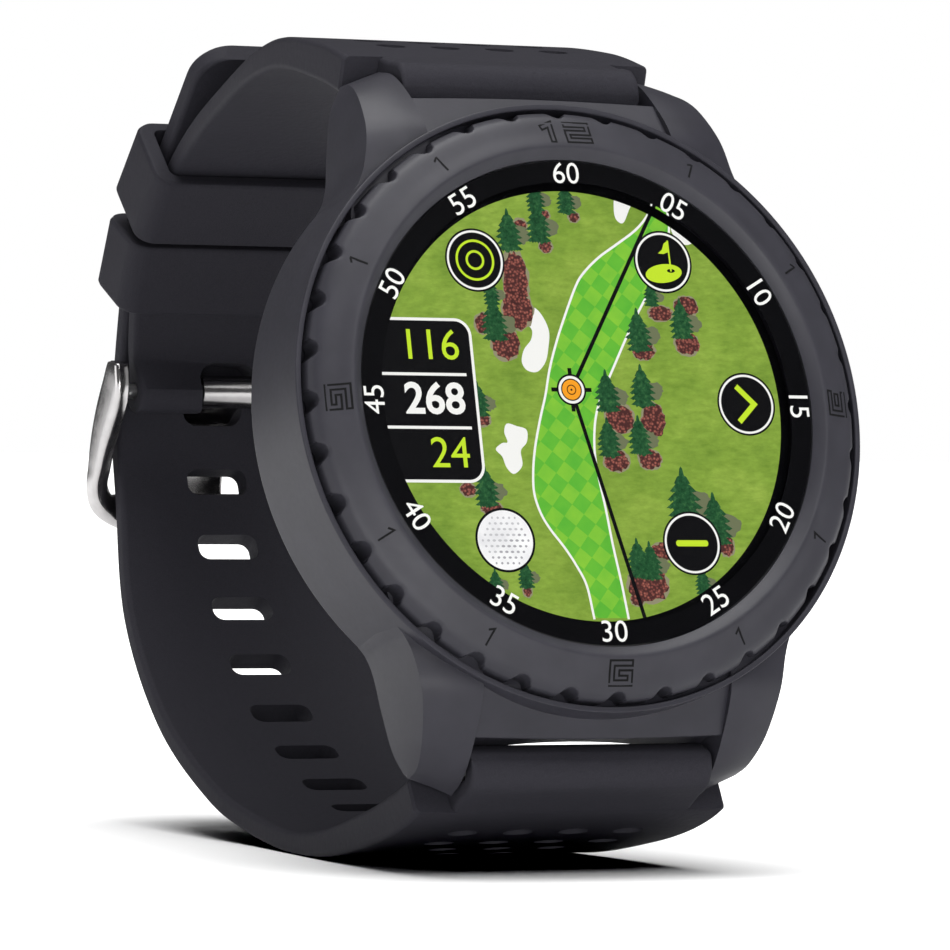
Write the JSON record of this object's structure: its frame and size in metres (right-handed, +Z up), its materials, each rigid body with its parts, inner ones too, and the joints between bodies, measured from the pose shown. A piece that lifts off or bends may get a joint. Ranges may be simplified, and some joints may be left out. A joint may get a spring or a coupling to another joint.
{
  "type": "golf gps watch",
  "caption": "Round golf GPS watch with a notched turning bezel round a colour map display, and a buckled black silicone strap closed in a loop.",
  "frame": {"origin": "centre of the bounding box on the floor the strap rests on", "axes": "+Z up, +X towards the dial's 3 o'clock, -Y the way the dial faces, which leans back 15 degrees"},
  "size_m": [0.0512, 0.085, 0.0682],
  "materials": {
    "case_plastic": "charcoal, fine satin",
    "bezel_plastic": "charcoal, satin, engraved",
    "back_plastic": "black, fine matt",
    "button_plastic": "charcoal, satin",
    "strap_silicone": "black silicone, matt, with a fine leather grain outside",
    "polished_steel": "polished stainless steel",
    "plain_steel": "plain stainless steel",
    "cover_glass": "clear hardened glass with a black printed ring",
    "display": "lit colour display",
    "gasket": "black gasket rubber",
    "red_gasket": "red silicone gasket",
    "black_plastic": "black moulded plastic",
    "circuit_board": "green solder mask",
    "ceramic": "pale ceramic",
    "battery_foil": "aluminium pouch foil",
    "flex_film": "amber polyimide film",
    "gold_contact": "gold plated"
  },
  "bodies": {
    "case": {"battery": "battery_foil", "bezel_spring_ring": "plain_steel", "board_screw_1": "plain_steel", "board_screw_2": "plain_steel", "board_screw_3": "plain_steel", "buckle_bar": "plain_steel", "button_seal": "gasket", "button_spring": "plain_steel", "button_switch": "black_plastic", "case_back": "back_plastic", "case_back_gasket": "red_gasket", "case_back_screw_1": "plain_steel", "case_back_screw_2": "plain_steel", "case_back_screw_3": "plain_steel", "case_back_screw_4": "plain_steel", "charging_contact_1": "gold_contact", "charging_contact_2": "gold_contact", "charging_contact_3": "gold_contact", "charging_contact_4": "gold_contact", "display_flex": "flex_film", "display_frame": "black_plastic", "display_panel": "display", "glass": "cover_glass", "glass_gasket": "gasket", "gps_antenna": "ceramic", "lower_bar": "plain_steel", "lower_strap": "strap_silicone", "main_board": "circuit_board", "mid_case": "case_plastic", "processor_shield": "plain_steel", "upper_bar": "plain_steel", "upper_strap": "strap_silicone", "vibration_motor": "plain_steel"},
    "bezel": {"bezel": "bezel_plastic"},
    "power_button": {"power_button": "button_plastic", "button_clip": "plain_steel"},
    "keeper_front": {"keeper_front": "strap_silicone"},
    "keeper_rear": {"keeper_rear": "strap_silicone"},
    "buckle_frame": {"buckle_frame": "polished_steel"},
    "buckle_tongue": {"buckle_tongue": "polished_steel"},
    "upper_pin_left": {"upper_pin_left": "plain_steel"},
    "upper_pin_right": {"upper_pin_right": "plain_steel"},
    "lower_pin_left": {"lower_pin_left": "plain_steel"},
    "lower_pin_right": {"lower_pin_right": "plain_steel"},
    "buckle_pin_left": {"buckle_pin_left": "plain_steel"},
    "buckle_pin_right": {"buckle_pin_right": "plain_steel"}
  },
  "joints": [
    {"name": "bezel_turn", "type": "hinge", "parent": "case", "child": "bezel", "pos_m": [-0.0005, -0.0347, 0.03744], "axis": [0, -0.9659, 0.2588], "continuous": true},
    {"name": "power_button_press", "type": "slide", "parent": "case", "child": "power_button", "axis": [-1, 0, 0], "range_m": [0, 0.0006], "stiffness_N_per_m": 1200, "springref_m": -0.0006, "deforming": ["button_spring"]},
    {"name": "keeper_front_slide", "type": "slide", "parent": "case", "child": "keeper_front", "axis": [0, -0.6852, 0.7284], "range_m": [0, 0.0004]},
    {"name": "keeper_rear_slide", "type": "slide", "parent": "case", "child": "keeper_rear", "axis": [0, 0.4303, -0.9027], "range_m": [0, 0.0008]},
    {"name": "buckle_frame_hinge", "type": "hinge", "parent": "case", "child": "buckle_frame", "pos_m": [-0.0005, 0.03546, 0.0381], "axis": [1, 0, 0], "range_deg": [0, 1.5]},
    {"name": "buckle_tongue_hinge", "type": "hinge", "parent": "buckle_frame", "child": "buckle_tongue", "pos_m": [-0.0005, 0.03546, 0.0381], "axis": [1, 0, 0], "range_deg": [0, 1]},
    {"name": "upper_pin_left_press", "type": "slide", "parent": "case", "child": "upper_pin_left", "axis": [1, 0, 0], "range_m": [0, 0.0013], "stiffness_N_per_m": 1500, "springref_m": -0.0005},
    {"name": "upper_pin_right_press", "type": "slide", "parent": "case", "child": "upper_pin_right", "axis": [-1, 0, 0], "range_m": [0, 0.0013], "stiffness_N_per_m": 1500, "springref_m": -0.0005},
    {"name": "lower_pin_left_press", "type": "slide", "parent": "case", "child": "lower_pin_left", "axis": [1, 0, 0], "range_m": [0, 0.0013], "stiffness_N_per_m": 1500, "springref_m": -0.0005},
    {"name": "lower_pin_right_press", "type": "slide", "parent": "case", "child": "lower_pin_right", "axis": [-1, 0, 0], "range_m": [0, 0.0013], "stiffness_N_per_m": 1500, "springref_m": -0.0005},
    {"name": "buckle_pin_left_press", "type": "slide", "parent": "case", "child": "buckle_pin_left", "axis": [1, 0, 0], "range_m": [0, 0.0013], "stiffness_N_per_m": 1500, "springref_m": -0.0005},
    {"name": "buckle_pin_right_press", "type": "slide", "parent": "case", "child": "buckle_pin_right", "axis": [-1, 0, 0], "range_m": [0, 0.0013], "stiffness_N_per_m": 1500, "springref_m": -0.0005}
  ]
}
